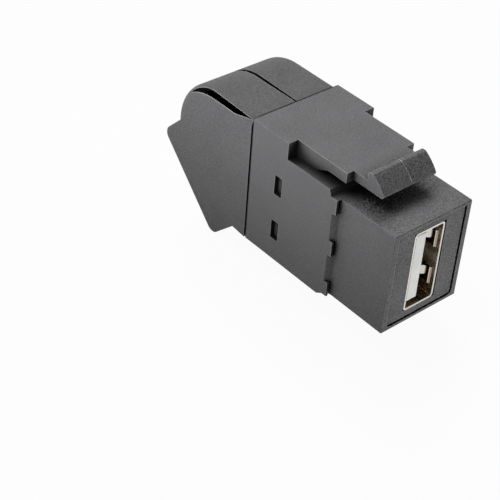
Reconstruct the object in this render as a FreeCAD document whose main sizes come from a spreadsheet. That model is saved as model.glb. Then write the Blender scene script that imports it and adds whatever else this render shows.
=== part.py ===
"""USB keystone coupler.

A moulded keystone housing with a flexing latch holds a front insert with a USB-A receptacle. A hood in
two halves snaps into the back of the housing and carries a second receptacle in a face that looks down
and back. A small circuit board joins the two receptacles.

Millimetres. The origin is the centre of the keystone's front face. X is to the right seen from the
front, Y runs from the front face towards the back, Z is up.
"""
import FreeCAD
import Part
import Sketcher
import math
import os
from types import SimpleNamespace

# Driving dimensions: millimetres, and degrees for an angle.
DRIVING = {
    # Housing: the front section that passes through the panel, and the wider body behind it
    "front_width": 14.57,
    "front_height": 16.52,
    "front_rounding": 0.15,
    "rim_proud": 0.1,
    "rim_side": 0.885,
    "rim_bottom": 0.55,
    "rim_top": 0.48,
    "rim_corner": 0.8,
    "body_start": 10.25,
    "body_end": 27.85,
    "body_side_step": 0.735,
    "body_bottom_step": 0.74,
    "body_top_step": 0.93,
    "body_wall": 1.12,
    "top_ramp_start": 1.2,
    "top_ramp_run": 0.43,
    "bottom_ramp_start": 0.85,
    "bottom_ramp_run": 1.25,
    "side_ramp_height": 4.6,
    "side_ramp_spacing": 7.1,
    "slit_width": 0.365,
    "slit_depth": 2.0,
    "slit_web": 0.15,
    "block_start": 20.4,
    "block_height": 2.64,
    "block_wall": 1.2,
    "edge_rounding": 0.15,
    # Latch: arm, neck and toothed tab, and the fixed hook below
    "arm_left": 6.35,
    "arm_right": 6.2,
    "arm_thickness": 1.58,
    "arm_front": 10.6,
    "arm_root": 16.5,
    "arm_root_run": 2.3,
    "neck_left": 5.15,
    "neck_right": 4.75,
    "neck_thickness": 1.36,
    "tooth_back": 8.0,
    "tooth_height": 1.32,
    "tooth_crest": 0.8,
    "tooth_rounding": 0.3,
    "tab_front": 4.85,
    "tab_drop": 0.85,
    "tab_arc": 7.5,
    "tab_rounding": 0.35,
    "hook_width": 10.3,
    "hook_depth": 1.2,
    "hook_length": 2.6,
    # Snap windows and barbs
    "window_front": 21.05,
    "window_length": 1.5,
    "window_height": 3.2,
    "window_spacing": 7.66,
    "barb_gap": 0.1,
    "barb_sunk": 0.6,
    "tongue_front": 20.7,
    "tongue_thickness": 1.05,
    "tongue_height": 13.2,
    "tongue_root": 2.4,
    "tongue_slip": 0.1,
    # Hood
    "seam_gap": 0.15,
    "seam_groove": 0.2,
    "seam_groove_depth": 0.6,
    "split_gap": 0.05,
    "hood_sink": 0.09,
    "hood_back": 45.05,
    "hood_bottom_rise": 0.7,
    "hood_arc": 8.7,
    "hood_rounding": 1.5,
    "hood_wall": 1.2,
    "split_relief_front": 0.13,
    "split_relief": 0.27,
    "split_relief_drop": 0.3,
    "boss_radius": 1.3,
    "peg_radius": 0.7,
    "peg_length": 1.5,
    "peg_slip": 0.05,
    "front_boss_in": 2.3,
    "front_boss_drop": 2.55,
    "rear_boss_reach": 6.4,
    "board_rib": 1.0,
    "board_rib_in": 0.3,
    "board_rib_height": 4.0,
    # Dark slot between the hood's side wall and its rounded top
    "slot_front": 0.3,
    "slot_front_drop": 0.08,
    "slot_runout": 3.6,
    "slot_low_drop": 0.79,
    "slot_low_end": 0.35,
    "slot_low_arc": 16.0,
    "slot_high_rise": 0.14,
    "slot_high_end": 0.95,
    "slot_high_arc": 8.0,
    "slot_tip_run": 6.1,
    "slot_tip_drop": 2.03,
    "slot_cut": 4.8,
    # Slanted port block of the hood
    "port_angle": 45.0,
    "port_y": 41.65,
    "port_drop": 6.81,
    "port_length": 17.47,
    "port_depth": 9.9,
    "port_flare": 0.35,
    "port_corner": 1.4,
    "port_wall": 1.5,
    # Receptacle: shell, spring fingers, insulator and contacts
    "receptacle_left": 0.43,
    "receptacle_up": 0.28,
    "shell_thickness": 5.7,
    "shell_width": 13.15,
    "shell_length": 14.0,
    "shell_sheet": 0.3,
    "shell_corner": 0.6,
    "shell_slip": 0.05,
    "finger_window_front": 0.9,
    "finger_window_back": 8.0,
    "finger_window_width": 2.8,
    "finger_spacing": 6.34,
    "window_lip": 0.2,
    "window_lip_run": 0.3,
    "finger_width": 1.5,
    "finger_rise": 0.4,
    "finger_bend": 2.1,
    "finger_reach": 0.6,
    "finger_tip": 1.6,
    "finger_lift": 0.55,
    "finger_rounding": 0.25,
    "shell_tab_front": 9.0,
    "shell_tab_length": 1.5,
    "tail_opening_front": 11.4,
    "tail_opening_width": 10.0,
    "tongue_plate_gap": 0.68,
    "tongue_plate_thickness": 1.8,
    "tongue_plate_width": 11.1,
    "tongue_plate_front": 0.5,
    "insulator_block_front": 9.0,
    "insulator_block_back": 12.1,
    "insulator_slip": 0.05,
    "contact_thickness": 0.25,
    "contact_width": 1.0,
    "contact_front": 1.4,
    "contact_tail": 12.3,
    "contact_slip": 0.03,
    "contact_inner": 1.0,
    "contact_outer": 3.5,
    # Board and solder
    "board_gap": 0.05,
    "board_thickness": 1.2,
    "board_front": 7.05,
    "board_top_gap": 0.05,
    "board_bottom_gap": 0.62,
    "board_margin": 0.875,
    "board_rear_depth": 15.4,
    "tail_hole": 0.65,
    "tail_stand": 0.45,
    "tab_slot_gap": 0.15,
    "solder_radius": 0.95,
    "solder_top": 0.6,
    # Front insert
    "insert_gap": 0.3,
    "insert_top_gap": 0.12,
    "insert_slip": 0.02,
    "insert_depth": 7.0,
    "insert_sink": 0.05,
    "insert_side_gap": 0.35,
}

doc = FreeCAD.newDocument("usb_keystone_coupler")
sheet = doc.addObject("Spreadsheet::Sheet", "Sizes")
for row, (name, value) in enumerate(DRIVING.items(), start=1):
    sheet.set(f"A{row}", name)
    sheet.set(f"B{row}", str(value))
    sheet.setAlias(f"B{row}", name)
doc.recompute()


class Size:
    """A dimension: its number, and the formula on the sheet's cells that gives it."""

    def __init__(self, formula, number):
        self.formula = formula
        self.number = number

    def __add__(self, other):
        other = as_size(other)
        return Size(f"({self.formula} + {other.formula})", self.number + other.number)

    def __sub__(self, other):
        other = as_size(other)
        return Size(f"({self.formula} - {other.formula})", self.number - other.number)

    def __mul__(self, other):
        other = as_size(other)
        return Size(f"({self.formula} * {other.formula})", self.number * other.number)

    def __truediv__(self, other):
        other = as_size(other)
        return Size(f"({self.formula} / {other.formula})", self.number / other.number)

    def __neg__(self):
        return Size(f"(-{self.formula})", -self.number)


def as_size(value):
    """A plain number as a Size with a constant formula."""
    if isinstance(value, Size):
        return value
    return Size(f"({value})", value)


def sine(angle):
    return Size(f"sin({angle.formula})", math.sin(math.radians(angle.number)))


def cosine(angle):
    return Size(f"cos({angle.formula})", math.cos(math.radians(angle.number)))


size = SimpleNamespace(**{name: Size(f"Sizes.{name}", float(sheet.get(name))) for name in DRIVING})
ZERO = as_size(0)
PAST = as_size(1)       # how far a cut runs past the face that it opens
BITE = as_size(0.2)     # how far a boss or an arm runs into the wall that carries it
TOLERANCE = 0.005


def make_body(name):
    body = doc.addObject("PartDesign::Body", name)
    body.Label = name
    return body


def new_sketch(body, name, plane, middle=ZERO, shift=(ZERO, ZERO), turn=ZERO, turn_axis=(0, 0, 1)):
    """A sketch on one of the body's planes, moved along it by shift, off it by middle, and turned."""
    sketch = body.newObject("Sketcher::SketchObject", name)
    origin_plane = [item for item in body.Origin.OriginFeatures if item.Role == plane][0]
    sketch.AttachmentSupport = (origin_plane, [""])
    sketch.MapMode = "FlatFace"
    rotation = FreeCAD.Rotation(FreeCAD.Vector(*turn_axis), turn.number)
    sketch.AttachmentOffset = FreeCAD.Placement(FreeCAD.Vector(0, 0, 0), rotation)
    for axis, amount in zip("xyz", (shift[0], shift[1], middle)):
        sketch.setExpression(f"AttachmentOffset.Base.{axis}", amount.formula)
    sketch.setExpression("AttachmentOffset.Rotation.Angle", turn.formula)
    return sketch


def bind_constraint(sketch, constraint, label, amount):
    index = sketch.addConstraint(constraint)
    sketch.renameConstraint(index, label)
    sketch.setExpression(f"Constraints.{label}", amount.formula)


def arc_between(start, end, radius, side):
    """The arc from start to end that bulges to the given side: 1 is left of the way, -1 is right."""
    way = end - start
    normal = FreeCAD.Vector(-way.y, way.x, 0).normalize() * side
    half = way.Length / 2
    rise = radius - math.sqrt(radius ** 2 - half ** 2)
    middle = start + way * 0.5 + normal * rise
    # A sketch keeps its arcs anticlockwise, so one that bulges to the left is drawn from its end
    return Part.Arc(end, middle, start) if side > 0 else Part.Arc(start, middle, end)


def draw_outline(sketch, corners, arcs=None):
    """A closed outline. arcs gives (radius, side) for the stretch that leaves a corner, by its number."""
    arcs = arcs or {}
    first = sketch.GeometryCount
    points = [FreeCAD.Vector(across.number, up.number, 0) for across, up in corners]
    count = len(points)
    ends = []
    for index, start in enumerate(points):
        end = points[(index + 1) % count]
        if index in arcs:
            radius, side = arcs[index]
            sketch.addGeometry(arc_between(start, end, radius.number, side), False)
            stored = sketch.Geometry[first + index]
            ends.append((1, 2) if stored.StartPoint.isEqual(start, TOLERANCE) else (2, 1))
        else:
            sketch.addGeometry(Part.LineSegment(start, end), False)
            ends.append((1, 2))
    for index in range(count):
        following = (index + 1) % count
        sketch.addConstraint(Sketcher.Constraint(
            "Coincident", first + index, ends[index][1], first + following, ends[following][0]))
    for index, (across, up) in enumerate(corners):
        number = first + index
        point = ends[index][0]
        bind_constraint(sketch, Sketcher.Constraint("DistanceX", -1, 1, number, point, across.number),
                        f"across_{number}", across)
        bind_constraint(sketch, Sketcher.Constraint("DistanceY", -1, 1, number, point, up.number),
                        f"up_{number}", up)
    for index, (radius, side) in arcs.items():
        number = first + index
        bind_constraint(sketch, Sketcher.Constraint("Radius", number, radius.number), f"arc_{number}", radius)


def draw_circle(sketch, across, up, radius):
    centre = FreeCAD.Vector(across.number, up.number, 0)
    number = sketch.addGeometry(Part.Circle(centre, FreeCAD.Vector(0, 0, 1), radius.number), False)
    bind_constraint(sketch, Sketcher.Constraint("DistanceX", -1, 1, number, 3, across.number),
                    f"across_{number}", across)
    bind_constraint(sketch, Sketcher.Constraint("DistanceY", -1, 1, number, 3, up.number), f"up_{number}", up)
    bind_constraint(sketch, Sketcher.Constraint("Radius", number, radius.number), f"radius_{number}", radius)


def extrude(body, name, sketch, width, cut):
    """Pad the sketch, or cut it out, half of the width to each side of its plane."""
    before = body.Shape.Volume if cut else 0
    feature = body.newObject("PartDesign::Pocket" if cut else "PartDesign::Pad", name)
    feature.Profile = sketch
    feature.SideType = "Symmetric"
    feature.setExpression("Length", width.formula)
    doc.recompute()
    if cut and not body.Shape.Volume < before - TOLERANCE:
        raise RuntimeError(f"{body.Label}: {name} cuts nothing")
    return feature


def prism(body, name, corners, low, high, plane="YZ_Plane", cut=False, shift=(ZERO, ZERO), turn=ZERO,
          arcs=None):
    """An outline made solid, or cut out, from low to high along its plane's normal."""
    sketch = new_sketch(body, f"{name}_outline", plane, (low + high) / 2, shift, turn)
    draw_outline(sketch, corners, arcs)
    return extrude(body, name, sketch, high - low, cut)


def rod(body, name, places, radius, low, high, cut=False, shift=(ZERO, ZERO), turn=ZERO):
    """Round bars along X, or holes, centred on the given places of the YZ plane."""
    sketch = new_sketch(body, f"{name}_outline", "YZ_Plane", (low + high) / 2, shift, turn)
    for across, up in places:
        draw_circle(sketch, across, up, radius)
    return extrude(body, name, sketch, high - low, cut)


def rectangle(near, far, bottom, top):
    return [(near, bottom), (far, bottom), (far, top), (near, top)]


def keeps(edge, x=None, y=None, z=None):
    """Whether the whole edge keeps the given coordinates."""
    box = edge.BoundBox
    spans = ((box.XMin, box.XMax, x), (box.YMin, box.YMax, y), (box.ZMin, box.ZMax, z))
    for low, high, wanted in spans:
        if wanted is None:
            continue
        if abs(low - wanted.number) > TOLERANCE or abs(high - wanted.number) > TOLERANCE:
            return False
    return True


def round_edges(body, name, radius, wanted):
    """Round the edges of the body so far for which wanted(edge) holds."""
    base = body.Tip
    chosen = [f"Edge{number}" for number, edge in enumerate(base.Shape.Edges, start=1) if wanted(edge)]
    if not chosen:
        raise RuntimeError(f"{body.Label}: {name} finds no edge")
    fillet = body.newObject("PartDesign::Fillet", name)
    fillet.Base = (base, chosen)
    fillet.setExpression("Radius", radius.formula)
    doc.recompute()


front_half = size.front_width / 2
front_top = size.front_height / 2
front_bottom = -front_top
body_half = front_half + size.body_side_step
body_bottom = front_bottom - size.body_bottom_step
body_top = front_top + size.body_top_step
block_top = body_top + size.block_height
cavity_half = body_half - size.body_wall
cavity_bottom = body_bottom + size.body_wall
cavity_top = body_top - size.body_wall
rim_half = front_half - size.rim_side
rim_low = front_bottom + size.rim_bottom
rim_high = front_top - size.rim_top
window_back = size.window_front + size.window_length
window_offset = size.window_spacing / 2

hood_front = size.body_end + size.seam_gap
hood_top = block_top - size.hood_sink
hood_bottom = body_bottom
port_z = -size.port_drop
arc_y = size.hood_back - size.hood_arc
arc_z = hood_top - size.hood_arc

receptacle_x = -size.receptacle_left
shell_half = size.shell_thickness / 2
shell_reach = size.shell_width / 2
shell_inside = shell_half - size.shell_sheet
board_low = receptacle_x + shell_half + size.board_gap
board_high = board_low + size.board_thickness
tail_end = shell_half + size.board_gap + size.board_thickness + size.tail_stand
board_half_height = shell_reach + size.board_margin
board_top = rim_high - size.board_top_gap
board_bottom = rim_low + size.board_bottom_gap
contact_places = (-size.contact_outer, -size.contact_inner, size.contact_inner, size.contact_outer)


def port_point(depth, along):
    """A point of the YZ plane, depth behind the slanted port face and along it from its centre."""
    lean = size.port_angle
    across = size.port_y - depth * cosine(lean) + along * sine(lean)
    up = port_z + depth * sine(lean) + along * cosine(lean)
    return across, up


def build_housing():
    """The sleeve: front section, rear body with ramped steps, top block, latch, hook and windows."""
    body = make_body("keystone_housing")
    prism(body, "front_section", rectangle(-size.rim_proud, size.body_start + PAST, front_bottom, front_top),
          -front_half, front_half)
    top_ramp = size.body_start + size.top_ramp_start
    bottom_ramp = size.body_start + size.bottom_ramp_start
    prism(body, "rear_body",
          [(size.body_start, front_bottom), (bottom_ramp, front_bottom),
           (bottom_ramp + size.bottom_ramp_run, body_bottom), (size.body_end, body_bottom),
           (size.body_end, body_top), (top_ramp + size.top_ramp_run, body_top), (top_ramp, front_top),
           (size.body_start, front_top)],
          -body_half, body_half)
    prism(body, "top_block", rectangle(size.block_start, size.body_end, body_top - BITE, block_top),
          -body_half, body_half)
    round_edges(body, "front_edges", size.front_rounding,
                lambda edge: keeps(edge, y=-size.rim_proud)
                or any(keeps(edge, x=front_half * side, z=front_top * level)
                       for side in (1, -1) for level in (1, -1)))
    round_edges(body, "body_edges", size.edge_rounding,
                lambda edge: any(keeps(edge, x=body_half * side, z=height) for side in (1, -1)
                                 for height in (body_bottom, body_top, block_top)))

    under_arm = block_top - size.arm_thickness
    under_neck = block_top - size.neck_thickness
    prism(body, "latch_arm",
          [(size.block_start + BITE, body_top - BITE), (size.block_start + BITE, block_top),
           (size.arm_front, block_top), (size.arm_front, under_arm),
           (size.arm_root - size.arm_root_run, under_arm), (size.arm_root, body_top),
           (size.arm_root, body_top - BITE)],
          -size.arm_left, size.arm_right)
    crest = block_top + size.tooth_height
    tab_top = block_top - size.tab_drop
    tab_corners = [(size.arm_front + BITE, under_neck), (size.arm_front + BITE, block_top),
                   (size.tooth_back, block_top), (size.tooth_back, crest),
                   (size.tooth_back - size.tooth_crest, crest), (size.tab_front, tab_top),
                   (size.tab_front, under_neck)]
    prism(body, "latch_tab", tab_corners, -size.neck_left, size.neck_right, arcs={4: (size.tab_arc, -1)})
    round_edges(body, "tooth_crest_edges", size.tooth_rounding,
                lambda edge: keeps(edge, y=size.tooth_back, z=crest)
                or keeps(edge, y=size.tooth_back - size.tooth_crest, z=crest))
    round_edges(body, "tab_lower_edge", size.tab_rounding,
                lambda edge: keeps(edge, y=size.tab_front, z=under_neck))
    hook_front = size.tooth_back - size.hook_length
    hook_bottom = front_bottom - size.hook_depth
    prism(body, "lower_hook",
          [(hook_front, front_bottom + BITE), (hook_front, front_bottom),
           (size.tooth_back - size.tooth_crest, hook_bottom), (size.tooth_back, hook_bottom),
           (size.tooth_back, front_bottom + BITE)],
          -size.hook_width / 2, size.hook_width / 2)

    cavity_front = bottom_ramp + size.bottom_ramp_run
    prism(body, "front_cavity", rectangle(-PAST, cavity_front + PAST, rim_low, rim_high),
          -rim_half, rim_half, cut=True)
    prism(body, "rear_cavity", rectangle(cavity_front, size.body_end + PAST, cavity_bottom, cavity_top),
          -cavity_half, cavity_half, cut=True)
    prism(body, "block_cavity",
          rectangle(size.block_start + size.block_wall, size.body_end + PAST, cavity_top - BITE,
                    block_top - size.block_wall),
          -cavity_half, cavity_half, cut=True)
    round_edges(body, "cavity_corners", size.rim_corner,
                lambda edge: keeps(edge, x=rim_half, z=rim_low) or keeps(edge, x=-rim_half, z=rim_low))
    for number, sign in enumerate((1, -1)):
        low = window_offset * sign - size.window_height / 2
        prism(body, f"snap_window_{number}",
              rectangle(size.window_front, window_back, low, low + size.window_height),
              -body_half - PAST, body_half + PAST, cut=True)
    cut_step(body)
    return body


def cut_step(body):
    """The step in each side: two 45 degree ramps, and narrow slits between them behind a thin skin."""
    ramp_low = size.side_ramp_spacing / 2 - size.side_ramp_height / 2
    ramp_high = size.side_ramp_spacing / 2 + size.side_ramp_height / 2
    slits = ((-ramp_low, ramp_low), (ramp_high, front_top - size.slit_web), (front_bottom - PAST, -ramp_high))
    slit_back = size.body_start + size.slit_depth
    ramp_run = size.body_side_step + PAST
    ramp_front = size.body_start - PAST
    for side, word in ((1, "right"), (-1, "left")):
        inner = front_half * side
        outer = (front_half + ramp_run) * side
        ramp = [(inner, ramp_front), (outer, ramp_front), (outer, size.body_start + ramp_run),
                (inner, size.body_start)]
        prism(body, f"upper_ramp_{word}", ramp, ramp_low, ramp_high, plane="XY_Plane", cut=True)
        prism(body, f"lower_ramp_{word}", ramp, -ramp_high, -ramp_low, plane="XY_Plane", cut=True)
        slit = (inner, (front_half + size.slit_width) * side)
        low, high = slit if side > 0 else slit[::-1]
        for number, (bottom, top) in enumerate(slits):
            prism(body, f"slit_{word}_{number}", rectangle(ramp_front, slit_back, bottom, top),
                  low, high, cut=True)


def build_insert():
    """The block in the front of the sleeve, with the slot that the front receptacle sits in."""
    body = make_body("front_insert")
    left = -rim_half + size.insert_slip
    right = rim_half - size.insert_gap
    bottom = rim_low + size.insert_gap
    top = rim_high - size.insert_top_gap
    back = size.insert_depth
    prism(body, "block", rectangle(size.insert_sink, back, bottom, top), left, right)
    round_edges(body, "lower_corners", size.rim_corner - size.insert_gap,
                lambda edge: keeps(edge, x=right, z=bottom) or keeps(edge, x=left, z=bottom))
    slot_reach = shell_reach + size.shell_slip
    prism(body, "receptacle_slot",
          rectangle(-PAST, back + PAST, size.receptacle_up - slot_reach, size.receptacle_up + slot_reach),
          receptacle_x - shell_half - size.shell_slip, receptacle_x + shell_half + size.insert_side_gap,
          cut=True)
    return body


def build_hood(side):
    """One half of the hood. side is 1 for the right half and -1 for the left one."""
    word = "right" if side > 0 else "left"
    body = make_body(f"hood_{word}")
    split = size.split_gap / 2

    def span(near, far):
        """Low and high along X for a stretch that runs from near to far, out from the split."""
        return (near, far) if side > 0 else (-far, -near)

    heart = port_point(size.port_corner * 2.5, ZERO)
    foot = port_point(size.port_depth / 2, -size.port_length / 4)[0]
    tail = port_point(size.port_wall * 2, size.port_length / 2 - size.port_corner * 4)
    prism(body, "hood_form",
          [(hood_front, hood_bottom), (foot, hood_bottom + size.hood_bottom_rise), heart,
           (size.hood_back, tail[1]), (size.hood_back, hood_top), (hood_front, hood_top)],
          *span(split, body_half))
    round_edges(body, "hood_arc", size.hood_arc, lambda edge: keeps(edge, y=size.hood_back, z=hood_top))
    outer = body_half * side
    round_edges(body, "hood_shoulder", size.hood_rounding,
                lambda edge: keeps(edge, x=outer) and edge.BoundBox.ZMax > arc_z.number - TOLERANCE
                and edge.BoundBox.YMax > hood_front.number + TOLERANCE)

    at_port = {"shift": (size.port_y, port_z), "turn": -size.port_angle}
    port_half = size.port_length / 2
    prism(body, "port_block",
          [(-size.port_depth, -port_half - size.port_flare), (ZERO, -port_half), (ZERO, port_half),
           (-size.port_depth, port_half)],
          *span(split, body_half), **at_port)
    corners = (port_point(ZERO, port_half), port_point(ZERO, -port_half))
    round_edges(body, "port_corners", size.port_corner,
                lambda edge: keeps(edge, y=corners[0][0], z=corners[0][1])
                or keeps(edge, y=corners[1][0], z=corners[1][1]))

    prism(body, "seam_groove",
          rectangle(hood_front - PAST, hood_front + size.seam_groove, hood_bottom - PAST, hood_top + PAST),
          *span(body_half - size.seam_groove_depth, body_half + PAST), cut=True)

    inside = body_half - size.hood_wall
    wall = size.hood_wall
    prism(body, "hood_cavity",
          [(hood_front - PAST, hood_bottom + wall),
           (foot, hood_bottom + size.hood_bottom_rise + wall), heart,
           (size.hood_back - wall, tail[1]), (size.hood_back - wall, arc_z), (arc_y, hood_top - wall),
           (hood_front - PAST, hood_top - wall)],
          -inside, inside, cut=True, arcs={4: (size.hood_arc - wall, -1)})
    prism(body, "port_cavity",
          rectangle(-size.port_depth, -size.port_wall, wall - port_half, port_half - wall),
          -inside, inside, cut=True, **at_port)
    opening = shell_reach + size.shell_slip
    breadth = shell_half + size.shell_slip
    prism(body, "port_opening", rectangle(-size.port_depth / 2, PAST, -opening, opening),
          receptacle_x - breadth, receptacle_x + breadth, cut=True, **at_port)

    add_tongue(body, span)
    add_bosses(body, span, side)
    cut_shoulder_slot(body, side)
    cut_split_relief(body, span, side)
    return body


def cut_split_relief(body, span, side):
    """The joint of the halves, opened through the wall: it widens along the top and runs on down the back."""
    front = size.split_gap / 2 + size.split_relief_front
    full = size.split_gap / 2 + size.split_relief
    inner_top = hood_top - size.hood_wall
    inner_back = size.hood_back - size.hood_wall
    prism(body, "top_relief",
          [(ZERO, hood_front - PAST), (front * side, hood_front - PAST), (full * side, arc_y), (ZERO, arc_y)],
          inner_top, hood_top + PAST, plane="XY_Plane", cut=True)
    low = arc_z - size.split_relief_drop
    prism(body, "crown_relief",
          [(inner_back, low), (size.hood_back + PAST, low), (size.hood_back + PAST, hood_top + PAST),
           (arc_y, hood_top + PAST), (arc_y, inner_top), (inner_back, arc_z)],
          *span(ZERO, full), cut=True, arcs={4: (size.hood_arc - size.hood_wall, 1)})


def add_tongue(body, span):
    """The flat tongue that slides into the housing, and its two barbs in the snap windows."""
    outside = cavity_half - size.tongue_slip
    inside = outside - size.tongue_thickness
    reach = size.tongue_height / 2
    prism(body, "tongue", rectangle(size.tongue_front, hood_front + size.tongue_root, -reach, reach),
          *span(inside, outside))
    prism(body, "tongue_root", rectangle(hood_front, hood_front + size.tongue_root, -reach, reach),
          *span(inside, body_half - size.hood_wall + BITE))
    barb_front = size.window_front + size.barb_gap
    barb_back = window_back - size.barb_gap
    barb_top = body_half - size.barb_sunk
    barb_half = size.window_height / 2 - size.barb_gap
    low, high = span(outside - BITE, barb_top)
    foot, peak = (low, high) if body.Label.endswith("right") else (high, low)
    lead = (foot + peak) / 2
    for number, sign in enumerate((1, -1)):
        middle = window_offset * sign
        prism(body, f"barb_{number}",
              [(foot, barb_front), (lead, barb_front),
               (peak, (barb_front + barb_back) / 2), (peak, barb_back),
               (foot, barb_back)],
              middle - barb_half, middle + barb_half, plane="XY_Plane")


def add_bosses(body, span, side):
    """Two bosses that meet at the split, with pegs on the left half and holes in the right, and a board rib."""
    lean = as_size(45)
    places = [(hood_front + size.front_boss_in, hood_top - size.front_boss_drop),
              (arc_y + size.rear_boss_reach * sine(lean), arc_z + size.rear_boss_reach * cosine(lean))]
    boss_foot = body_half - size.hood_wall + BITE
    rod(body, "bosses", places, size.boss_radius, *span(size.split_gap / 2, boss_foot))
    if side < 0:
        rod(body, "pegs", places, size.peg_radius, -size.split_gap, size.peg_length)
        return
    rod(body, "peg_holes", places, size.peg_radius + size.peg_slip,
        -PAST, size.peg_length + size.peg_slip, cut=True)
    near = hood_front + size.board_rib_in
    prism(body, "board_rib",
          rectangle(near, near + size.board_rib, board_bottom, board_bottom + size.board_rib_height),
          board_high, body_half - size.hood_wall + BITE)


def cut_shoulder_slot(body, side):
    """The slot in the rounded shoulder, cut at 45 degrees, that opens into the hollow of the hood."""
    tilt = as_size(-45 * side)
    sketch = new_sketch(body, "shoulder_slot_outline", "YZ_Plane", body_half * side, (ZERO, hood_top),
                        tilt, (1, 0, 0))
    corners = [(hood_front + size.slot_front, -size.slot_front_drop),
               (hood_front + size.slot_front + size.slot_runout, -size.slot_low_drop),
               (arc_y - size.slot_low_end, -size.slot_low_drop),
               (arc_y + size.slot_tip_run, -size.slot_tip_drop),
               (arc_y + size.slot_high_end, size.slot_high_rise)]
    draw_outline(sketch, corners, {2: (size.slot_low_arc, 1), 3: (size.slot_high_arc, -1)})
    extrude(body, "shoulder_slot", sketch, size.slot_cut, cut=True)


def place_receptacle_piece(body, rear):
    """Move a receptacle's piece from its own frame to the front face or to the slanted port face."""
    across, up = (size.port_y, port_z) if rear else (ZERO, size.receptacle_up)
    angle = as_size(180) - size.port_angle if rear else ZERO
    rotation = FreeCAD.Rotation(FreeCAD.Vector(1, 0, 0), angle.number)
    body.Placement = FreeCAD.Placement(FreeCAD.Vector(0, 0, 0), rotation)
    for axis, amount in zip("xyz", (receptacle_x, across, up)):
        body.setExpression(f"Placement.Base.{axis}", amount.formula)
    body.setExpression("Placement.Rotation.Angle", angle.formula)


def build_shell(end):
    """The folded shell, in its own frame: mouth at Y 0, Y into the receptacle, board on the +X side."""
    body = make_body(f"{end}_shell")
    reach_inside = shell_reach - size.shell_sheet
    prism(body, "folded_box", rectangle(ZERO, size.shell_length, -shell_reach, shell_reach),
          -shell_half, shell_half)
    round_edges(body, "folds", size.shell_corner,
                lambda edge: edge.BoundBox.YLength > size.shell_length.number - TOLERANCE)
    prism(body, "inside", rectangle(-PAST, size.shell_length - size.shell_sheet, -reach_inside, reach_inside),
          -shell_inside, shell_inside, cut=True)
    round_edges(body, "inside_folds", size.shell_corner - size.shell_sheet,
                lambda edge: edge.BoundBox.YLength > TOLERANCE
                and abs(abs(edge.BoundBox.Center.x) - shell_inside.number) < TOLERANCE
                and abs(abs(edge.BoundBox.Center.z) - reach_inside.number) < TOLERANCE)
    for number, sign in enumerate((1, -1)):
        middle = size.finger_spacing / 2 * sign
        rise = middle + size.finger_rise
        prism(body, f"finger_windows_{number}",
              rectangle(size.finger_window_front, size.finger_window_back,
                        middle - size.finger_window_width / 2, middle + size.finger_window_width / 2),
              -shell_half - PAST, shell_half + PAST, cut=True)
        for side in (1, -1):
            word = f"{number}_{'board' if side > 0 else 'far'}"
            add_window_lip(body, f"window_lip_{word}", side, middle)
            add_finger(body, f"finger_{word}", side, rise)
    prism(body, "tail_opening",
          rectangle(size.tail_opening_front, size.shell_length - size.shell_sheet,
                    -size.tail_opening_width / 2, size.tail_opening_width / 2),
          shell_inside - BITE, shell_half + PAST, cut=True)
    tab_back = size.shell_tab_front + size.shell_tab_length
    for sign, word in ((1, "upper"), (-1, "lower")):
        inner, outer = reach_inside * sign, shell_reach * sign
        prism(body, f"{word}_tab", rectangle(size.shell_tab_front, tab_back, inner, outer), ZERO, tail_end)
    return body


def add_window_lip(body, name, side, middle):
    """The edge of a window next to the mouth, pressed in a little so that a plug slides over it."""
    heart = shell_inside + size.shell_sheet / 2
    back = size.finger_window_front
    front = back - size.window_lip_run
    corners = [(heart, front), (heart, back), (shell_inside - size.window_lip, back), (shell_inside, front)]
    prism(body, name, [(across * side, along) for across, along in corners],
          middle - size.finger_window_width / 2, middle + size.finger_window_width / 2, plane="XY_Plane")


def add_finger(body, name, side, middle):
    """A spring finger: bent in from the back of its window, with its tip lifted clear of the plug."""
    outer, inner = shell_half, shell_inside
    bend = inner - size.finger_reach
    tip = bend + size.finger_lift
    sheet_metal = size.shell_sheet
    root = size.finger_window_back + BITE
    corners = [(outer, root), (bend + sheet_metal, size.finger_bend), (tip + sheet_metal, size.finger_tip),
               (tip, size.finger_tip), (bend, size.finger_bend), (inner, root)]
    low = middle - size.finger_width / 2
    high = middle + size.finger_width / 2
    prism(body, name, [(across * side, along) for across, along in corners], low, high, plane="XY_Plane")
    round_edges(body, f"{name}_corners", size.finger_rounding,
                lambda edge: (keeps(edge, y=size.finger_tip, z=low) or keeps(edge, y=size.finger_tip, z=high))
                and edge.BoundBox.Center.x * side > 0)


def tongue_face():
    """The contact side of the tongue, in the receptacle's frame."""
    return size.tongue_plate_gap + size.tongue_plate_thickness - shell_inside


def build_insulator(end):
    """The white tongue and the block behind it, slotted for the contacts."""
    body = make_body(f"{end}_insulator")
    face = tongue_face()
    tongue_half = size.tongue_plate_width / 2
    block_half = shell_inside - size.insulator_slip
    block_reach = shell_reach - size.shell_sheet - size.shell_corner
    prism(body, "tongue_plate",
          rectangle(size.tongue_plate_front, size.insulator_block_front + BITE, -tongue_half, tongue_half),
          face - size.tongue_plate_thickness, face)
    prism(body, "block",
          rectangle(size.insulator_block_front, size.insulator_block_back, -block_reach, block_reach),
          -block_half, block_half)
    for number, place in enumerate(contact_places, start=1):
        reach = size.contact_width / 2 + size.contact_slip
        prism(body, f"contact_slot_{number}",
              rectangle(size.insulator_block_front - BITE, size.insulator_block_back + PAST,
                        place - reach, place + reach),
              face, face + size.contact_thickness + size.contact_slip, cut=True)
    return body


def build_contact(end, number, place):
    """A contact strip along the tongue, bent at the back into a tail that passes through the board."""
    body = make_body(f"{end}_contact_{number}")
    face = tongue_face()
    tail_back = size.contact_tail + size.contact_thickness
    corners = [(face, size.contact_front), (face + size.contact_thickness, size.contact_front),
               (face + size.contact_thickness, size.contact_tail), (tail_end, size.contact_tail),
               (tail_end, tail_back), (face, tail_back)]
    reach = size.contact_width / 2
    prism(body, "strip", corners, place - reach, place + reach, plane="XY_Plane")
    return body


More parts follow.
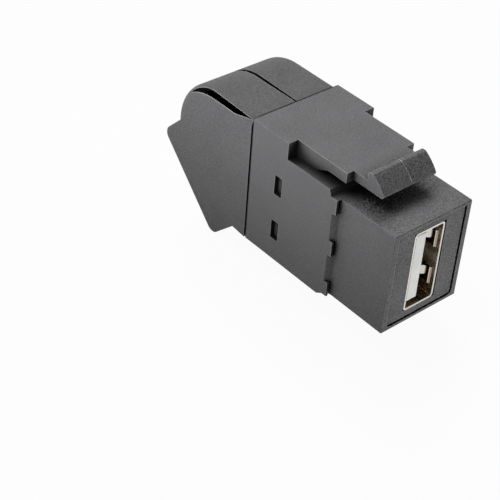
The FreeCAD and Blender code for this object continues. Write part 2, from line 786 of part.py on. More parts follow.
def build_solder(end):
    """The soldered joints: a low cone round each tail on the board's outer face."""
    face = shell_half + size.board_gap + size.board_thickness
    middle = size.contact_tail + size.contact_thickness / 2
    joints = []
    for number, place in enumerate(contact_places, start=1):
        cone = doc.addObject("Part::Cone", f"{end}_solder_cone_{number}")
        upright = FreeCAD.Rotation(FreeCAD.Vector(0, 1, 0), 90)
        cone.Placement = FreeCAD.Placement(FreeCAD.Vector(0, 0, 0), upright)
        tail = doc.addObject("Part::Box", f"{end}_solder_tail_{number}")
        bound = ((cone, "Radius1", size.solder_radius), (cone, "Radius2", size.solder_top),
                 (cone, "Height", size.tail_stand), (cone, "Placement.Base.x", face),
                 (cone, "Placement.Base.y", middle), (cone, "Placement.Base.z", place),
                 (tail, "Length", size.tail_stand * 3), (tail, "Width", size.contact_thickness),
                 (tail, "Height", size.contact_width), (tail, "Placement.Base.x", face - size.tail_stand),
                 (tail, "Placement.Base.y", size.contact_tail),
                 (tail, "Placement.Base.z", place - size.contact_width / 2))
        for item, item_property, amount in bound:
            item.setExpression(item_property, amount.formula)
        joint = doc.addObject("Part::Cut", f"{end}_solder_joint_{number}")
        joint.Base = cone
        joint.Tool = tail
        joints.append(joint)
    group = doc.addObject("Part::Compound", f"{end}_solder")
    group.Label = f"{end}_solder"
    group.Links = joints
    doc.recompute()
    return group


def build_board():
    """The board between the receptacles: straight along the body, then turned with the slanted port."""
    body = make_body("circuit_board")

    def slanted(depth, height):
        """The point at the given height on the line that lies depth behind the slanted port face."""
        return port_point(depth, (height - port_z - depth * sine(size.port_angle)) / cosine(size.port_angle))

    lower = slanted(size.board_front, board_bottom)
    far = port_point(size.board_front, board_half_height)
    upper = port_point(size.board_rear_depth, board_half_height)
    bend = slanted(size.board_rear_depth, board_top)
    prism(body, "board",
          [(size.board_front, board_bottom), (lower[0], board_bottom), far, upper, (bend[0], board_top),
           (size.board_front, board_top)],
          board_low, board_high)
    tail_y = size.contact_tail + size.contact_thickness / 2
    tab_front = size.shell_tab_front - size.tab_slot_gap
    tab_back = size.shell_tab_front + size.shell_tab_length + size.tab_slot_gap
    ends = (("front", {"shift": (ZERO, size.receptacle_up)}),
            ("rear", {"shift": (size.port_y, port_z), "turn": as_size(180) - size.port_angle}))
    for end, place in ends:
        rod(body, f"{end}_tail_holes", [(tail_y, up) for up in contact_places], size.tail_hole,
            board_low - PAST, board_high + PAST, cut=True, **place)
        for sign in (1, -1):
            inner = (shell_reach - size.shell_sheet - size.tab_slot_gap) * sign
            outer = (shell_reach + size.tab_slot_gap) * sign
            prism(body, f"{end}_tab_slot_{'upper' if sign > 0 else 'lower'}",
                  rectangle(tab_front, tab_back, inner, outer), board_low - PAST, board_high + PAST,
                  cut=True, **place)
    return body


pieces = [build_housing(), build_insert(), build_hood(-1), build_hood(1)]
for end in ("front", "rear"):
    receptacle = [build_shell(end), build_insulator(end)]
    for number, place in enumerate(contact_places, start=1):
        receptacle.append(build_contact(end, number, place))
    receptacle.append(build_solder(end))
    for piece in receptacle:
        place_receptacle_piece(piece, rear=end == "rear")
    pieces += receptacle
pieces.append(build_board())
doc.recompute()

for item in doc.Objects:
    if "Invalid" in item.State or "Error" in item.State:
        raise RuntimeError(f"{item.Label} failed: {item.State}")
for piece in pieces:
    if piece.Shape.isNull() or not piece.Shape.isValid():
        raise RuntimeError(f"{piece.Label} has no valid shape")

os.makedirs("parts", exist_ok=True)
for piece in pieces:
    piece.Shape.exportStep(f"parts/{piece.Label}.step")
    print(piece.Label, len(piece.Shape.Solids), round(piece.Shape.Volume, 2))
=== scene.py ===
"""A black keystone coupler with a USB-A receptacle at each end, dressed and lit for a studio picture."""
import math

import bmesh
import bpy
from mathutils import Matrix, Vector
from mathutils.bvhtree import BVHTree


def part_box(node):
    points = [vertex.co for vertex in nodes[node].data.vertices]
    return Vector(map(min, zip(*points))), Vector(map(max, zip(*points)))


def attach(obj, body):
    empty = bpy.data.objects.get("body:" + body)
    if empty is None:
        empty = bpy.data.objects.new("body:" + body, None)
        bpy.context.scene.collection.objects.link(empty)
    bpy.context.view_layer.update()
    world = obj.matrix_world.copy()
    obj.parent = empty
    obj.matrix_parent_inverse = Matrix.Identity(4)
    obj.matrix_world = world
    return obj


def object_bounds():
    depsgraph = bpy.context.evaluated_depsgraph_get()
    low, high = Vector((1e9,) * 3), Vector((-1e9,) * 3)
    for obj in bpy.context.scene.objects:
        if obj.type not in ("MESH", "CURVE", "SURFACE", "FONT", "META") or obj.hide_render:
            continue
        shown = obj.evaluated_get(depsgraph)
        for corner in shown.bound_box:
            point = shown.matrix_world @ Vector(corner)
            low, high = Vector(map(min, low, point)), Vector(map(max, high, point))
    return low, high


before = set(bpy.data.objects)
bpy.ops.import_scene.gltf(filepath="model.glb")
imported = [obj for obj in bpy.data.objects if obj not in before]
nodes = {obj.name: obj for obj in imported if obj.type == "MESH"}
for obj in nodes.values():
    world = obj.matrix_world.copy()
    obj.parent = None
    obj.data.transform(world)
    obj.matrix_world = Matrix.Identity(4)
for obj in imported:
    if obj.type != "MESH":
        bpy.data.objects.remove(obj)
cad_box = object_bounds()


# Circuit board: a strip of green glass-fibre laminate that joins the two receptacles.
# Its glossy solder mask is a little uneven in colour, with a faint grain.
def new_material(name):
    """A material with an empty node tree, and that tree's nodes and links."""
    material = bpy.data.materials.new(name)
    material.use_nodes = True
    material.node_tree.nodes.clear()
    return material, material.node_tree.nodes, material.node_tree.links


def principled(material_nodes, links, **settings):
    """The surface shader of a material, joined to its output, with the constants set on its sockets."""
    shader = material_nodes.new("ShaderNodeBsdfPrincipled")
    for socket, value in settings.items():
        shader.inputs[socket.replace("_", " ")].default_value = value
    output = material_nodes.new("ShaderNodeOutputMaterial")
    links.new(shader.outputs["BSDF"], output.inputs["Surface"])
    return shader


def colour_ramp(material_nodes, links, source, stops):
    """A ramp from a value to a colour. The stops are pairs of position and colour."""
    ramp = material_nodes.new("ShaderNodeValToRGB")
    for number, (position, colour) in enumerate(stops):
        element = ramp.color_ramp.elements[number] if number < 2 else ramp.color_ramp.elements.new(position)
        element.position = position
        element.color = (*colour, 1.0)
    links.new(source, ramp.inputs["Fac"])
    return ramp.outputs["Color"]


def dress(names, material):
    """Give the named solids a material, and weighted normals so that their flat faces shade flat."""
    for name in names:
        node = nodes[name]
        node.data.materials.clear()
        node.data.materials.append(material)
        flat_faces = node.modifiers.new("flat_faces", "WEIGHTED_NORMAL")
        flat_faces.weight = 100


def new_group(name, inputs, outputs):
    """A shader node group with plain value inputs and the named outputs."""
    group = bpy.data.node_groups.new(name, "ShaderNodeTree")
    for label, value in inputs:
        socket = group.interface.new_socket(label, in_out="INPUT", socket_type="NodeSocketFloat")
        socket.default_value = value
    for label, kind in outputs:
        group.interface.new_socket(label, in_out="OUTPUT", socket_type=kind)
    entry = group.nodes.new("NodeGroupInput")
    leave = group.nodes.new("NodeGroupOutput")
    return group, entry, leave


def place_group(material_nodes, group, **values):
    """One use of a group in a material, with its own values."""
    node = material_nodes.new("ShaderNodeGroup")
    node.node_tree = group
    for label, value in values.items():
        node.inputs[label.replace("_", " ")].default_value = value
    return node


# The grain of a moulded or coated surface: fine pits, a slow mottle, and a tone that follows both.
grain_group, grain_in, grain_out = new_group(
    "moulded_grain",
    [("Pits per metre", 6000.0), ("Mottle per metre", 180.0)],
    [("Height", "NodeSocketFloat"), ("Mottle", "NodeSocketFloat"), ("Tone", "NodeSocketFloat")])
grain_mottle_share = 0.2
grain_coordinates = grain_group.nodes.new("ShaderNodeTexCoord")
grain_tone = grain_group.nodes.new("ShaderNodeMath")
grain_tone.operation = "MULTIPLY_ADD"
grain_tone.inputs[1].default_value = grain_mottle_share
for grain_label, grain_detail, grain_socket, grain_place in (
        ("Mottle per metre", 3.0, "Mottle", 0), ("Pits per metre", 2.0, "Height", 2)):
    grain_noise = grain_group.nodes.new("ShaderNodeTexNoise")
    grain_noise.inputs["Detail"].default_value = grain_detail
    grain_group.links.new(grain_coordinates.outputs["Object"], grain_noise.inputs["Vector"])
    grain_group.links.new(grain_in.outputs[grain_label], grain_noise.inputs["Scale"])
    grain_group.links.new(grain_noise.outputs["Fac"], grain_out.inputs[grain_socket])
    grain_group.links.new(grain_noise.outputs["Fac"], grain_tone.inputs[grain_place])
grain_group.links.new(grain_tone.outputs[0], grain_out.inputs["Tone"])


def add_bump(material_nodes, links, height, shader, strength, distance):
    """Turn a height into the surface normal of a shader. The distance is in metres."""
    bump = material_nodes.new("ShaderNodeBump")
    bump.inputs["Strength"].default_value = strength
    bump.inputs["Distance"].default_value = distance
    links.new(height, bump.inputs["Height"])
    links.new(bump.outputs["Normal"], shader.inputs["Normal"])


board_mask, board_nodes, board_links = new_material("solder_mask_green")
board_shader = principled(board_nodes, board_links, Roughness=0.35, Coat_Weight=0.4, Coat_Roughness=0.2)
board_grain = place_group(board_nodes, grain_group, Pits_per_metre=9000.0, Mottle_per_metre=400.0)
board_links.new(colour_ramp(board_nodes, board_links, board_grain.outputs["Mottle"],
                            [(0.35, (0.012, 0.11, 0.04)), (0.65, (0.02, 0.17, 0.06))]),
                board_shader.inputs["Base Color"])
add_bump(board_nodes, board_links, board_grain.outputs["Height"], board_shader,
         strength=0.15, distance=0.00002)
dress(["circuit_board"], board_mask)


# Solder: bright tin cones where the contact tails come through the board.
# They wet the tails and the pads, and set with a slightly frosted skin.
tin, tin_nodes, tin_links = new_material("solder_tin_bright")
tin_shader = principled(tin_nodes, tin_links, Metallic=1.0)
tin_grain = place_group(tin_nodes, grain_group, Pits_per_metre=5000.0, Mottle_per_metre=900.0)
tin_links.new(colour_ramp(tin_nodes, tin_links, tin_grain.outputs["Mottle"],
                          [(0.3, (0.62, 0.63, 0.64)), (0.7, (0.76, 0.77, 0.78))]),
              tin_shader.inputs["Base Color"])
tin_links.new(colour_ramp(tin_nodes, tin_links, tin_grain.outputs["Height"],
                          [(0.3, (0.22, 0.22, 0.22)), (0.7, (0.42, 0.42, 0.42))]),
              tin_shader.inputs["Roughness"])
dress(["front_solder", "rear_solder"], tin)


# Contacts: four strips of gold-plated spring bronze on each tongue.
# Each is stamped, bent down through the tongue's root and soldered into the board.
gold, gold_nodes, gold_links = new_material("contact_gold_plate")
gold_shader = principled(gold_nodes, gold_links, Metallic=1.0)
gold_grain = place_group(gold_nodes, grain_group, Pits_per_metre=7000.0, Mottle_per_metre=700.0)
gold_links.new(colour_ramp(gold_nodes, gold_links, gold_grain.outputs["Mottle"],
                           [(0.3, (0.78, 0.56, 0.2)), (0.7, (0.88, 0.68, 0.3))]),
               gold_shader.inputs["Base Color"])
gold_links.new(colour_ramp(gold_nodes, gold_links, gold_grain.outputs["Height"],
                           [(0.3, (0.2, 0.2, 0.2)), (0.7, (0.34, 0.34, 0.34))]),
               gold_shader.inputs["Roughness"])
contact_names = [f"{end}_contact_{number}" for end in ("front", "rear") for number in range(1, 5)]
dress(contact_names, gold)


# Insulators: the off-white moulding that carries the contacts, with the tongue that a plug closes over.
# It is glass-filled nylon, smooth and slightly see-through at its thin edges, pressed into the shell.
ivory, ivory_nodes, ivory_links = new_material("insulator_ivory")
ivory_shader = principled(ivory_nodes, ivory_links, Roughness=0.38,
                          Subsurface_Weight=0.15, Subsurface_Scale=0.0006)
ivory_grain = place_group(ivory_nodes, grain_group, Pits_per_metre=4000.0, Mottle_per_metre=250.0)
ivory_links.new(colour_ramp(ivory_nodes, ivory_links, ivory_grain.outputs["Mottle"],
                            [(0.35, (0.66, 0.665, 0.65)), (0.65, (0.72, 0.725, 0.71))]),
                ivory_shader.inputs["Base Color"])
add_bump(ivory_nodes, ivory_links, ivory_grain.outputs["Height"], ivory_shader,
         strength=0.1, distance=0.00002)
dress(["front_insulator", "rear_insulator"], ivory)


# Shells: folded from one sheet of brass and nickel plated, with spring fingers bent in from the walls.
# The plating is bright on the outer edges, and tarnished brown inside, where no plug rubs it clean.
# Two masks from ambient occlusion. Edge is one along convex edges, which the plastics make paler by edge
# wear and a painted highlight. Open falls to zero in hollows, corners and under overhangs, where the
# plastics take a near-black painted shade and the shells their tarnish.
edge_and_hollow_group, edge_and_hollow_in, edge_and_hollow_out = new_group(
    "edges_and_hollows",
    [("Edge reach", 0.00015), ("Hollow reach", 0.003)],
    [("Edge", "NodeSocketFloat"), ("Open", "NodeSocketFloat")])
wear_samples = 8
for wear_label, wear_inside, wear_range, wear_socket in (
        ("Edge reach", True, (0.5, 0.95, 1.0, 0.0), "Edge"),
        ("Hollow reach", False, (0.6, 1.0, 0.0, 1.0), "Open")):
    edge_and_hollow_occlusion = edge_and_hollow_group.nodes.new("ShaderNodeAmbientOcclusion")
    edge_and_hollow_occlusion.inside = wear_inside
    edge_and_hollow_occlusion.only_local = wear_inside
    edge_and_hollow_occlusion.samples = wear_samples
    edge_and_hollow_group.links.new(edge_and_hollow_in.outputs[wear_label], edge_and_hollow_occlusion.inputs["Distance"])
    wear_scale = edge_and_hollow_group.nodes.new("ShaderNodeMapRange")
    for wear_limit, wear_value in zip(("From Min", "From Max", "To Min", "To Max"), wear_range):
        wear_scale.inputs[wear_limit].default_value = wear_value
    edge_and_hollow_group.links.new(edge_and_hollow_occlusion.outputs["AO"], wear_scale.inputs["Value"])
    edge_and_hollow_group.links.new(wear_scale.outputs["Result"], edge_and_hollow_out.inputs[wear_socket])


def mix_colours(material_nodes, links, share, first, second):
    """A colour between two others. Each may be a constant or the output of a node."""
    first_colour, second_colour, result_colour = 6, 7, 2
    mix = material_nodes.new("ShaderNodeMix")
    mix.data_type = "RGBA"
    links.new(share, mix.inputs["Factor"])
    for place, colour in ((first_colour, first), (second_colour, second)):
        if isinstance(colour, tuple):
            mix.inputs[place].default_value = (*colour, 1.0)
        else:
            links.new(colour, mix.inputs[place])
    return mix.outputs[result_colour]


def combine(material_nodes, links, operation, *values):
    """One step of arithmetic. Each value may be a constant or the output of a node."""
    step = material_nodes.new("ShaderNodeMath")
    step.operation = operation
    for socket, value in zip(step.inputs, values):
        if isinstance(value, float):
            socket.default_value = value
        else:
            links.new(value, socket)
    return step.outputs[0]


def fade(material_nodes, links, value, start, end, first=0.0, last=1.0):
    """A value that goes from first to last while another goes from start to end."""
    scale = material_nodes.new("ShaderNodeMapRange")
    for limit, setting in zip(("From Min", "From Max", "To Min", "To Max"), (start, end, first, last)):
        scale.inputs[limit].default_value = setting
    links.new(value, scale.inputs["Value"])
    return scale.outputs["Result"]


def place_and_facing(material_nodes, links):
    """The axes of a point's place on the object, and those of the way that its surface faces."""
    coordinates = material_nodes.new("ShaderNodeTexCoord")
    axes = []
    for label in ("Object", "Normal"):
        split = material_nodes.new("ShaderNodeSeparateXYZ")
        links.new(coordinates.outputs[label], split.inputs["Vector"])
        axes.append(split.outputs)
    return axes


def rubbed_or_open(material_nodes, links, open_share):
    """One where the plating is bright: in the open, and where a plug rubs the fingers and lips."""
    shell_half = 0.00285
    plug_face, plug_blend = 0.00239, 0.00004
    lip_foot, foot_blend = 0.00252, 0.00002
    wall_facing = (0.3, 0.5)
    shell_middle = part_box("front_shell")[0].x + shell_half
    place, facing = place_and_facing(material_nodes, links)
    offset = combine(material_nodes, links, "ABSOLUTE",
                     combine(material_nodes, links, "SUBTRACT", place["X"], shell_middle))
    rubbed = fade(material_nodes, links, offset, plug_face, plug_face + plug_blend, 1.0, 0.0)
    flat_wall = fade(material_nodes, links, offset, lip_foot, lip_foot + foot_blend)
    sideways = fade(material_nodes, links,
                    combine(material_nodes, links, "ABSOLUTE", facing["X"]), *wall_facing)
    inner = combine(material_nodes, links, "MULTIPLY_ADD", flat_wall, open_share, rubbed)
    choice = material_nodes.new("ShaderNodeMix")
    links.new(sideways, choice.inputs["Factor"])
    links.new(open_share, choice.inputs["A"])
    links.new(inner, choice.inputs["B"])
    return choice.outputs["Result"]


nickel, nickel_nodes, nickel_links = new_material("shell_nickel_plate")
nickel_shader = principled(nickel_nodes, nickel_links, Metallic=1.0)
nickel_grain = place_group(nickel_nodes, grain_group, Pits_per_metre=3000.0, Mottle_per_metre=500.0)
nickel_wear = place_group(nickel_nodes, edge_and_hollow_group, Hollow_reach=0.003)
nickel_bright = colour_ramp(nickel_nodes, nickel_links, nickel_grain.outputs["Mottle"],
                            [(0.3, (0.58, 0.55, 0.51)), (0.7, (0.65, 0.625, 0.59))])
nickel_tarnish = (0.32, 0.24, 0.165)
nickel_clean = rubbed_or_open(nickel_nodes, nickel_links, nickel_wear.outputs["Open"])
nickel_links.new(mix_colours(nickel_nodes, nickel_links, nickel_clean, nickel_tarnish, nickel_bright),
                 nickel_shader.inputs["Base Color"])
nickel_links.new(colour_ramp(nickel_nodes, nickel_links, nickel_grain.outputs["Height"],
                             [(0.3, (0.2, 0.2, 0.2)), (0.7, (0.3, 0.3, 0.3))]),
                 nickel_shader.inputs["Roughness"])
dress(["front_shell", "rear_shell"], nickel)


# Housing and insert: black moulded plastic, from tools with a fine sparked texture.
# The insert sits in the front of the sleeve and holds the front receptacle upright.
tone_middle = 0.6


def in_front(tree_nodes, links, most):
    """A value in front of the latch's step, and zero behind it: there the tool was sparked harder, the
    speckle carries painted glints, and painted specks show in the painted shade.
    """
    sparked_end, plain_start = 0.008, 0.0105
    place = place_and_facing(tree_nodes, links)[0]
    return fade(tree_nodes, links, place["Y"], sparked_end, plain_start, most, 0.0)


def speckle_front(tree_nodes, links, tone):
    """The tone with stronger speckle in front, less so on the upright face, and calmer on the sides; its
    brightest specks are painted glints.
    """
    harder, upright_share, side_share = 0.7, 0.8, -0.4
    level_facing = 0.5
    facing = place_and_facing(tree_nodes, links)[1]
    sideways = combine(tree_nodes, links, "ABSOLUTE", facing["X"])
    not_sides = fade(tree_nodes, links, sideways, 0.0, 1.0, 1.0, 0.0)
    level = fade(tree_nodes, links, facing["Z"], 0.0, level_facing, upright_share, 1.0)
    share = combine(tree_nodes, links, "MULTIPLY", in_front(tree_nodes, links, harder),
                    combine(tree_nodes, links, "MULTIPLY", not_sides, level))
    calmed = combine(tree_nodes, links, "MULTIPLY_ADD", sideways, side_share, share)
    off_middle = combine(tree_nodes, links, "SUBTRACT", tone, tone_middle)
    return combine(tree_nodes, links, "MULTIPLY_ADD", off_middle, calmed, tone)


def darker_slope_and_top_shade(tree_nodes, links, hood_top_shade):
    """A darker tone on faces that look forward and up, such as the tab's slope, and painted shade on the
    up-facing top of the hood.
    """
    slope_drop = -0.15
    slope_forward, slope_level = (-0.6, -0.3), (0.1, 0.3)
    top_level = (0.2, 0.6)
    facing = place_and_facing(tree_nodes, links)[1]
    on_slope = combine(tree_nodes, links, "MULTIPLY",
                       fade(tree_nodes, links, facing["Y"], *slope_forward, slope_drop, 0.0),
                       fade(tree_nodes, links, facing["Z"], *slope_level))
    on_top = fade(tree_nodes, links, facing["Z"], *top_level)
    return combine(tree_nodes, links, "MULTIPLY_ADD", on_top, hood_top_shade, on_slope)


def specks_in_shade(tree_nodes, links, open_share, tone):
    """The share left by the painted shade, with the grain's high points still bright as painted specks
    where that painted shade begins in front.
    """
    speck_strength = 4.0
    off_middle = combine(tree_nodes, links, "SUBTRACT", tone, tone_middle)
    hollow = combine(tree_nodes, links, "SUBTRACT", 1.0, open_share)
    speck = combine(tree_nodes, links, "MULTIPLY", off_middle, hollow)
    return combine(tree_nodes, links, "MULTIPLY_ADD", speck, in_front(tree_nodes, links, speck_strength),
                   open_share)


def beside_seam(tree_nodes, links):
    """One along the seam between sleeve and hood, where the edges lie in shade, and zero away from it."""
    seam_half, shade_start, shade_end = 0.000075, 0.00015, 0.00024
    seam_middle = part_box("keystone_housing")[1].y + seam_half
    place = place_and_facing(tree_nodes, links)[0]
    offset = combine(tree_nodes, links, "ABSOLUTE",
                     combine(tree_nodes, links, "SUBTRACT", place["Y"], seam_middle))
    return fade(tree_nodes, links, offset, shade_start, shade_end, 1.0, 0.0)


# The speckle and painted shade of the sparked plastic: its speckle with painted glints, its darker forward
# slopes, painted shade on the hood's top, painted specks in its painted shade, and painted shade along the
# seam.
speckle_and_shade_group, speckle_and_shade_in, speckle_and_shade_out = new_group(
    "sparked_speckle_and_shade",
    [("Tone", tone_middle), ("Open", 1.0), ("Hood top", 0.0)],
    [("Tone", "NodeSocketFloat"), ("Open", "NodeSocketFloat"), ("Seam", "NodeSocketFloat")])
finish_nodes, finish_links = speckle_and_shade_group.nodes, speckle_and_shade_group.links
finish_tone = combine(finish_nodes, finish_links, "ADD",
                      speckle_front(finish_nodes, finish_links, speckle_and_shade_in.outputs["Tone"]),
                      darker_slope_and_top_shade(finish_nodes, finish_links, speckle_and_shade_in.outputs["Hood top"]))
finish_open = specks_in_shade(finish_nodes, finish_links, speckle_and_shade_in.outputs["Open"], finish_tone)
for finish_label, finish_value in (("Tone", finish_tone), ("Open", finish_open),
                                   ("Seam", beside_seam(finish_nodes, finish_links))):
    finish_links.new(finish_value, speckle_and_shade_out.inputs[finish_label])


def sparked_plastic(name, dark, pale, pits, edge_wear_and_highlight=0.24, hood_top_shade=0.0):
    """Black plastic with a fine pitted skin, paler on its corners by edge wear and a painted highlight, and
    near black in its hollows by painted shade.
    """
    # The top stop of the skin's ramp is a painted glint, a painted highlight on the brightest specks.
    cool, pit, painted_glint = 1.03, dark * 0.3, pale * 1.4
    painted_shade_black, seam_black = (0.008, 0.008, 0.008), (0.014, 0.014, 0.014)
    bump_strength, pit_depth = 1.0, 0.00013
    material, tree_nodes, links = new_material(name)
    shader = principled(tree_nodes, links, IOR=1.5, Specular_IOR_Level=0.1)
    grain = place_group(tree_nodes, grain_group, Pits_per_metre=pits, Mottle_per_metre=200.0)
    edge_and_hollow = place_group(tree_nodes, edge_and_hollow_group, Edge_reach=0.00014, Hollow_reach=0.003)
    speckle_and_shade = place_group(tree_nodes, speckle_and_shade_group, Hood_top=hood_top_shade)
    links.new(grain.outputs["Tone"], speckle_and_shade.inputs["Tone"])
    links.new(edge_and_hollow.outputs["Open"], speckle_and_shade.inputs["Open"])
    skin = colour_ramp(tree_nodes, links, speckle_and_shade.outputs["Tone"],
                       [(0.1, (pit, pit, pit)), (0.4, (dark, dark, dark * cool)),
                        (0.8, (pale, pale, pale * cool)), (1.0, (painted_glint, painted_glint, painted_glint))])
    # The corners go paler by edge wear and a painted highlight; the seam and the hollows take painted
    # shade.
    rubbed = mix_colours(tree_nodes, links, edge_and_hollow.outputs["Edge"], skin, (edge_wear_and_highlight, edge_wear_and_highlight, edge_wear_and_highlight))
    shaded = mix_colours(tree_nodes, links, speckle_and_shade.outputs["Seam"], rubbed, seam_black)
    links.new(mix_colours(tree_nodes, links, speckle_and_shade.outputs["Open"], painted_shade_black, shaded),
              shader.inputs["Base Color"])
    links.new(colour_ramp(tree_nodes, links, grain.outputs["Height"],
                          [(0.3, (0.5, 0.5, 0.5)), (0.7, (0.68, 0.68, 0.68))]),
              shader.inputs["Roughness"])
    add_bump(tree_nodes, links, grain.outputs["Height"], shader, bump_strength, pit_depth)
    return material


sleeve = sparked_plastic("housing_plastic_sparked", dark=0.078, pale=0.142, pits=5000.0)
dress(["keystone_housing", "front_insert"], sleeve)


# Flash line: the thin ridge that the tool's two halves leave down the middle of the latch tab.
# It is the housing's own plastic, less than a tenth of a millimetre high; its pale colour is a painted
# highlight along the ridge.
flash_across = 0.0002
flash_half = 0.00008
flash_height = 0.00008
flash_sunk = 0.00002
flash_front, flash_back = 0.0049, 0.0079
flash_steps = 36
flash_taper_rate = 3
flash_above = 0.03
flash_side = Vector((flash_half, 0.0, 0.0))
flash_skin = BVHTree.FromObject(nodes["keystone_housing"], bpy.context.evaluated_depsgraph_get())
flash_shape = bmesh.new()
flash_rows = []
for step in range(flash_steps + 1):
    flash_along = flash_front + (flash_back - flash_front) * step / flash_steps
    flash_place, flash_normal = flash_skin.ray_cast(
        Vector((flash_across, flash_along, flash_above)), Vector((0.0, 0.0, -1.0)))[:2]
    flash_taper = min(1.0, flash_taper_rate * step / flash_steps,
                      flash_taper_rate * (1 - step / flash_steps))
    flash_foot = flash_place - flash_normal * flash_sunk
    flash_crest = flash_place + flash_normal * flash_height * flash_taper
    flash_rows.append([flash_shape.verts.new(point)
                       for point in (flash_foot - flash_side, flash_crest, flash_foot + flash_side)])
for flash_near, flash_far in zip(flash_rows, flash_rows[1:]):
    for number in range(3):
        following = (number + 1) % 3
        flash_shape.faces.new((flash_near[number], flash_near[following],
                               flash_far[following], flash_far[number]))
flash_shape.faces.new(flash_rows[0])
flash_shape.faces.new(flash_rows[-1])
bmesh.ops.recalc_face_normals(flash_shape, faces=flash_shape.faces)
flash_mesh = bpy.data.meshes.new("tab_flash_line")
flash_shape.to_mesh(flash_mesh)
flash_shape.free()
flash_line = bpy.data.objects.new("tab_flash_line", flash_mesh)
bpy.context.scene.collection.objects.link(flash_line)
flash_plastic = sparked_plastic("flash_plastic_painted_highlight", dark=0.34, pale=0.42, pits=4000.0, edge_wear_and_highlight=0.6)
flash_line.data.materials.append(flash_plastic)
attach(flash_line, "root")


# Hood halves: the same black plastic from a second tool, in two halves that meet on the middle plane.
# They close round the rear receptacle, peg into each other and snap into the sleeve's windows.
# The hood's colours sit a little below the sleeve's as painted shade, and its up-facing top takes more
# painted shade.
hood = sparked_plastic("hood_plastic_sparked", dark=0.074, pale=0.132, pits=4300.0, hood_top_shade=-0.14)
dress(["hood_left", "hood_right"], hood)


# Floor: a wide pale sheet under the coupler, just below its lowest corner.
# To the camera it is nearly all white, so that only a soft shadow shows on it.
def seen_or_mirrored(tree_nodes, links):
    """One for what the camera sees, straight or in a reflection or through glass, and zero for light."""
    path = tree_nodes.new("ShaderNodeLightPath")
    share = path.outputs["Is Camera Ray"]
    for ray in ("Is Glossy Ray", "Is Transmission Ray"):
        share = combine(tree_nodes, links, "MAXIMUM", share, path.outputs[ray])
    return share


floor_half, floor_gap = 1.5, 0.0002
paper_grey, paper_white_share = 0.55, 0.95
floor_shape = bmesh.new()
bmesh.ops.create_grid(floor_shape, x_segments=8, y_segments=8, size=floor_half)
floor_mesh = bpy.data.meshes.new("studio_floor")
floor_shape.to_mesh(floor_mesh)
floor_shape.free()
floor = bpy.data.objects.new("studio_floor", floor_mesh)
floor.location = (0.0, 0.02, cad_box[0].z - floor_gap)
bpy.context.scene.collection.objects.link(floor)
paper, paper_nodes, paper_links = new_material("floor_paper")
paper_diffuse = paper_nodes.new("ShaderNodeBsdfDiffuse")
paper_diffuse.inputs["Color"].default_value = (paper_grey, paper_grey, paper_grey, 1.0)
paper_glow = paper_nodes.new("ShaderNodeEmission")
paper_glow.inputs["Color"].default_value = (1.0, 1.0, 1.0, 1.0)
paper_seen = seen_or_mirrored(paper_nodes, paper_links)
paper_share = combine(paper_nodes, paper_links, "MULTIPLY", paper_seen, paper_white_share)
paper_mix = paper_nodes.new("ShaderNodeMixShader")
paper_links.new(paper_share, paper_mix.inputs["Fac"])
paper_links.new(paper_diffuse.outputs["BSDF"], paper_mix.inputs[1])
paper_links.new(paper_glow.outputs["Emission"], paper_mix.inputs[2])
paper_output = paper_nodes.new("ShaderNodeOutputMaterial")
paper_links.new(paper_mix.outputs["Shader"], paper_output.inputs["Surface"])
floor.data.materials.append(paper)
floor.visible_shadow = False


# Light: a broad soft lamp above and behind on the right, a smaller one close above the left side,
# and two narrow white cards, one beside the hood and one low in front of the mouth.
# The room is white to the camera and in reflections, and only a little light comes from its ceiling.
world = bpy.data.worlds.new("white_room")
bpy.context.scene.world = world
world.use_nodes = True
room_nodes, room_links = world.node_tree.nodes, world.node_tree.links
room_nodes.clear()
room_direction = room_nodes.new("ShaderNodeTexCoord")
room_axes = room_nodes.new("ShaderNodeSeparateXYZ")
room_links.new(room_direction.outputs["Generated"], room_axes.inputs["Vector"])
room_ceiling = room_nodes.new("ShaderNodeMapRange")
room_ceiling.interpolation_type = "SMOOTHSTEP"
room_range = (0.6, 0.95, 0.0, 0.3)
for room_limit, room_value in zip(("From Min", "From Max", "To Min", "To Max"), room_range):
    room_ceiling.inputs[room_limit].default_value = room_value
room_links.new(room_axes.outputs["Z"], room_ceiling.inputs["Value"])
room_strength = room_nodes.new("ShaderNodeMix")
room_strength.inputs["B"].default_value = 1.0
room_links.new(seen_or_mirrored(room_nodes, room_links), room_strength.inputs["Factor"])
room_links.new(room_ceiling.outputs["Result"], room_strength.inputs["A"])
room_background = room_nodes.new("ShaderNodeBackground")
room_background.inputs["Color"].default_value = (1.0, 1.0, 1.0, 1.0)
room_links.new(room_strength.outputs["Result"], room_background.inputs["Strength"])
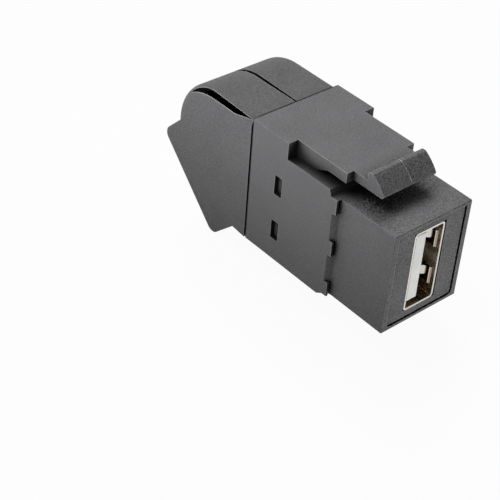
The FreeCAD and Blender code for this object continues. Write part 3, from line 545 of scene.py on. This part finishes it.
room_output = room_nodes.new("ShaderNodeOutputWorld")
room_links.new(room_background.outputs["Background"], room_output.inputs["Surface"])

lamps = (("back_softbox", (0.22, 0.32, 0.45), (0.0, 0.02, 0.0), (0.25, 0.25), 180.0, 2.9),
         ("near_softbox", (-0.06, 0.06, 0.15), (0.0, 0.02, 0.0), (0.1, 0.1), 180.0, 0.155),
         ("left_card", (-0.05, 0.043, 0.01), (0.0, 0.043, 0.031), (0.1, 0.004), 120.0, 0.02),
         ("front_card", (0.03, -0.08, -0.01), (0.0, 0.0, -0.004), (0.1, 0.004), 180.0, 0.055))
for lamp_name, lamp_place, lamp_target, lamp_sides, lamp_spread, lamp_power in lamps:
    lamp_data = bpy.data.lights.new(lamp_name, "AREA")
    lamp_data.shape = "RECTANGLE"
    lamp_data.size, lamp_data.size_y = lamp_sides
    lamp_data.spread = math.radians(lamp_spread)
    lamp_data.energy = lamp_power
    lamp = bpy.data.objects.new(lamp_name, lamp_data)
    lamp.location = lamp_place
    lamp.rotation_mode = "QUATERNION"
    lamp.rotation_quaternion = (Vector(lamp_target) - Vector(lamp_place)).to_track_quat("-Z", "Y")
    lamp.visible_camera = False
    bpy.context.scene.collection.objects.link(lamp)


# Camera: about 20 cm from the coupler's middle, looking down on the front, the top and the left side.
# Its place, its turn and its lens follow the photograph's view.
camera_data = bpy.data.cameras.new("studio_camera")
camera_data.sensor_width = 36.0
camera_data.lens = 98.947
camera_data.clip_start = 0.01
camera = bpy.data.objects.new("studio_camera", camera_data)
camera_right = Vector((0.76646838, -0.63951405, 0.05956506))
camera_up = Vector((0.35978199, 0.50432017, 0.78499560))
camera_back = Vector((-0.53205558, -0.58024387, 0.61663110))
camera_turn = Matrix((camera_right, camera_up, camera_back)).transposed().to_4x4()
camera.matrix_world = Matrix.Translation((-0.11619, -0.091385, 0.114879)) @ camera_turn
bpy.context.scene.collection.objects.link(camera)
bpy.context.scene.camera = camera
bpy.context.scene.view_settings.view_transform = "Standard"

bpy.context.view_layer.update()
